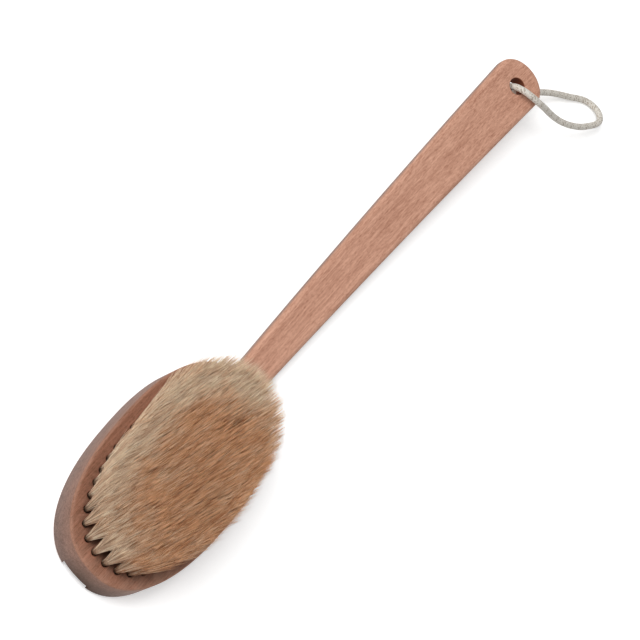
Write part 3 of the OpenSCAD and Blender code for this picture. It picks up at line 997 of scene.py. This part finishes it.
def cord_material():
    """Undyed braided cotton: pale yarns, some of them beige, with painted shade between the yarns.
    """
    material, tree, shader = new_material("undyed_cotton", 0.85, Specular_IOR_Level=0.2,
                                          Sheen_Weight=0.25, Sheen_Roughness=0.5)
    at = node(tree, "TexCoord").outputs["Object"]
    relief, yarn = attribute(tree, "relief"), attribute(tree, "yarn")
    flecks = noise(tree, at, (700, 700, 700), 2, 0.6)
    colour = mixed(tree, stretch(tree, yarn, 0.7, 0.8, 0.0, 0.75), PALE_YARN, BEIGE_YARN)
    colour = mixed(tree, stretch(tree, flecks, 0.56, 0.72, 0.0, 0.6), colour, YARN_FLECK)
    # Painted shade where the surface sinks between the strands.
    colour = mixed(tree, stretch(tree, relief, 0.2, 0.8, 0.85, 0.0), colour, YARN_GAP_SHADE)
    tree.links.new(colour, shader.inputs["Base Color"])
    bumped(tree, shader, noise(tree, at, (5200, 5200, 5200), 2, 0.6), 0.4, YARN_RELIEF)
    return material


def wire_material():
    """Drawn, galvanised flat wire: fine lines along the wire, dull zinc patches."""
    material, tree, shader = new_material("galvanised_wire", 0.35, Metallic=1.0)
    at = node(tree, "TexCoord").outputs["Object"]
    patches = noise(tree, at, (900, 900, 900), 3, 0.6)
    wired(tree, (mixed(tree, patches, ZINC, BRIGHT_ZINC), shader.inputs["Base Color"]),
          (stretch(tree, patches, 0.3, 0.7, 0.3, 0.5), shader.inputs["Roughness"]))
    bumped(tree, shader, noise(tree, at, (300, 9000, 9000), 2, 0.5), 0.2, WIRE_RELIEF)
    return material


def dressed(piece, material):
    """Gives the piece one material slot with the material."""
    piece.data.materials.clear()
    piece.data.materials.append(material)


# ---- Camera, light and floor ----

CAMERA_AZIMUTH, CAMERA_ELEVATION = math.radians(161.2505), math.radians(51.8594)
CAMERA_ROLL = math.radians(64.384)
CAMERA_TARGET = np.array([4.79, -9.41, 0]) * MM
CAMERA_DISTANCE = 1514.9 * MM
CAMERA_LENS, SENSOR_WIDTH, FARTHEST_SEEN = 163.54, 36, 20

WORLD_LIGHT = 0.36
KEY_DIRECTION = np.array([-0.32, 0.55, 0.95])
KEY_DISTANCE, KEY_SIZE, KEY_POWER = 2.4, 1.5, 44
FLOOR_REACH, FLOOR_DROP = 3.0, 0.05 * MM
FLOOR_GREY, FLOOR_GLOW = 0.96, 0.385
WHITE = (1, 1, 1, 1)


def aimed(made, right, back, at):
    """Puts a camera or a light at a point, with its own X along right and its back along
    back. It looks the other way."""
    axes = np.eye(4)
    axes[:3, 0], axes[:3, 1], axes[:3, 2], axes[:3, 3] = right, np.cross(back, right), back, at
    made.matrix_world = Matrix(axes.tolist())


def camera():
    """The camera looks down on the bristle side from beyond the head's tip."""
    level = math.cos(CAMERA_ELEVATION)
    back = np.array([level * math.cos(CAMERA_AZIMUTH), level * math.sin(CAMERA_AZIMUTH),
                     math.sin(CAMERA_ELEVATION)])
    up = unit(np.array([0, 0, 1]) - back * back[2])
    right = math.cos(CAMERA_ROLL) * np.cross(up, back) + math.sin(CAMERA_ROLL) * up
    data = bpy.data.cameras.new("camera")
    data.sensor_width, data.lens, data.clip_end = SENSOR_WIDTH, CAMERA_LENS, FARTHEST_SEEN
    made = linked("camera", data)
    aimed(made, right, back, CAMERA_TARGET + CAMERA_DISTANCE * back)
    bpy.context.scene.camera = made


def key_light():
    """A large square light that points at the brush from above, from its +Y side."""
    data = bpy.data.lights.new("key", "AREA")
    data.shape, data.size, data.energy = "SQUARE", KEY_SIZE, KEY_POWER
    back = unit(KEY_DIRECTION)
    aimed(linked("key", data), unit(np.cross([0, 1, 0], back)), back, KEY_DISTANCE * back)


def seen_directly(tree):
    """1 for rays that show the background as it is: camera, mirror and glass rays."""
    path = node(tree, "LightPath")
    seen = maths(tree, "ADD", path.outputs["Is Camera Ray"], path.outputs["Is Glossy Ray"])
    return maths(tree, "ADD", seen, path.outputs["Is Transmission Ray"], clamp=True)


def surroundings():
    """A white world, a large soft light, and a pale floor just below the brush."""
    scene = bpy.context.scene
    scene.view_settings.view_transform = "Standard"
    world = bpy.data.worlds.new("world")
    scene.world = world
    world.use_nodes = True
    tree = world.node_tree
    background = tree.nodes["Background"]
    background.inputs["Color"].default_value = WHITE
    strength = stretch(tree, seen_directly(tree), 0, 1, WORLD_LIGHT, 1.0)
    tree.links.new(strength, background.inputs["Strength"])
    key_light()

    corners = np.array([(-1, -1, 0), (1, -1, 0), (1, 1, 0), (-1, 1, 0)]) * FLOOR_REACH
    floor = mesh_object("floor", corners - [0, 0, FLOOR_DROP], np.array([[0, 1, 2, 3]]))
    material, tree, shader = new_material("pale_floor", 0.9, Specular_IOR_Level=0.0)
    shader.inputs["Base Color"].default_value = (FLOOR_GREY, FLOOR_GREY, FLOOR_GREY, 1)
    shader.inputs["Emission Color"].default_value = WHITE
    tree.links.new(stretch(tree, seen_directly(tree), 0, 1, 0.0, FLOOR_GLOW),
                   shader.inputs["Emission Strength"])
    dressed(floor, material)


# ---- The brush ----

def head_masks(piece):
    """Wall: the head's side, by how far out in the outline's own formula a point is. Edge:
    its rounded edges, rubbed paler, and painted light on the face's rim on the -Y side. A
    third mask, painted shade: the side round the tip, darker towards the back, and the face
    round the tufts near the tip."""
    at = points_of(piece)
    up = at[:, 2]
    u = (at[:, 0] - HEAD_X) / HEAD_HALF_L
    v = at[:, 1] / (HEAD_HALF_W * (1 + HEAD_EGG * u))
    out = (np.abs(u) ** HEAD_SQUARE + np.abs(v) ** HEAD_SQUARE) ** (1 / HEAD_SQUARE)

    face_edge = smoothstep(HEAD_T - 1.9 * MM, HEAD_T - 0.6 * MM, up) * smoothstep(0.955, 0.985, out)
    back_edge = smoothstep(2.6 * MM, 0.8 * MM, up) * smoothstep(0.9, 0.97, out)
    rounded = np.maximum(face_edge, 0.6 * back_edge)
    point_attribute(piece, "wall", smoothstep(0.972, 0.992, out) * (1 - rounded))

    # Painted light: the face's rim on the -Y side is made paler, as if lit there.
    face_rim = (up > 0.9 * HEAD_T) * smoothstep(0.76, 0.9, out) * smoothstep(-0.2, -0.8, v)
    point_attribute(piece, "edge", np.maximum(0.5 * rounded, face_rim))

    # Painted shade: the side round the tip darkens towards the back, and the face round the tufts
    # near the tip darkens.
    tip_side = smoothstep(0.8, 1, -u) * smoothstep(0.95, 0.99, out) * smoothstep(0.4, -0.05, v)
    tip_side *= smoothstep(HEAD_T, 0.2 * HEAD_T, up)
    by_tufts = smoothstep(0.92, 0.8, out) * smoothstep(0.1, 0.7, -u)
    point_attribute(piece, "painted_shade", 0.9 * tip_side + 0.75 * by_tufts)


def handle_masks(piece):
    """Edge: the handle's rounded long edges and its end, rubbed paler. Wall: painted shade on
    its side below the rounding, darker and greyer. The tongue has neither, and no point gets
    the painted shade of the third mask."""
    at = points_of(piece)
    up = at[:, 2] - bow_z(at[:, 0])
    past_cap = np.clip((at[:, 0] - CAP_X) / END_CAP_L, 0, 1)
    flank = np.minimum(half_width(at[:, 0]), END_W / 2) * np.sqrt(1 - 0.999 * past_cap ** 2)
    inwards = flank - np.abs(at[:, 1])
    outside = at[:, 0] > TAIL_X
    side = smoothstep(2.4 * MM, 1.2 * MM, inwards) * smoothstep(2.6 * MM, 0.6 * MM, up)
    point_attribute(piece, "wall", side * outside)
    point_attribute(piece, "edge", 0.25 * smoothstep(2.6 * MM, 0.6 * MM, inwards) * outside)
    point_attribute(piece, "painted_shade", np.zeros(len(at)))


camera()
surroundings()

cotton = cord_material()
cord = braided_tube("cord_cotton", CORD_ROUTE, CORD_D)
tie = knot()
tails = [tail("tail_long", [(199.5, -1, 11), (197.8, 2, 9.4), (194.6, 4.6, 7), (190.8, 6.4, 5.4)]),
         tail("tail_short", [(198.8, -3.4, 10.6), (196, -5.4, 8.6), (192.6, -7, 6.4)])]
for piece in (cord, tie, *tails):
    dressed(piece, cotton)
    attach(piece, "handle")
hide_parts("hanging_cord")
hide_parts("cord_knot")

grain, edges = wood_group(), edge_group()
block = head_block()
head_masks(block)
dressed(block, wood_material("head_beech", grain, edges, HEAD_WOOD, HEAD_WALL))
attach(block, "head")
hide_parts("head_block")

stick = handle()
handle_masks(stick)
dressed(stick, wood_material("handle_beech", grain, edges, HANDLE_WOOD, HANDLE_SHADED_WALL,
                             hole_group()))
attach(stick, "handle")
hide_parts("handle")

bristle = bristle_material()
wire = wire_material()
for group_name, (group_places, group_lean) in TUFT_GROUPS.items():
    hair = bristles(group_name, group_places, group_lean)
    dressed(hair, bristle)
    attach(hair, "head")
    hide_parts("tufts_" + group_name)
    dressed(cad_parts["anchors_" + group_name], wire)
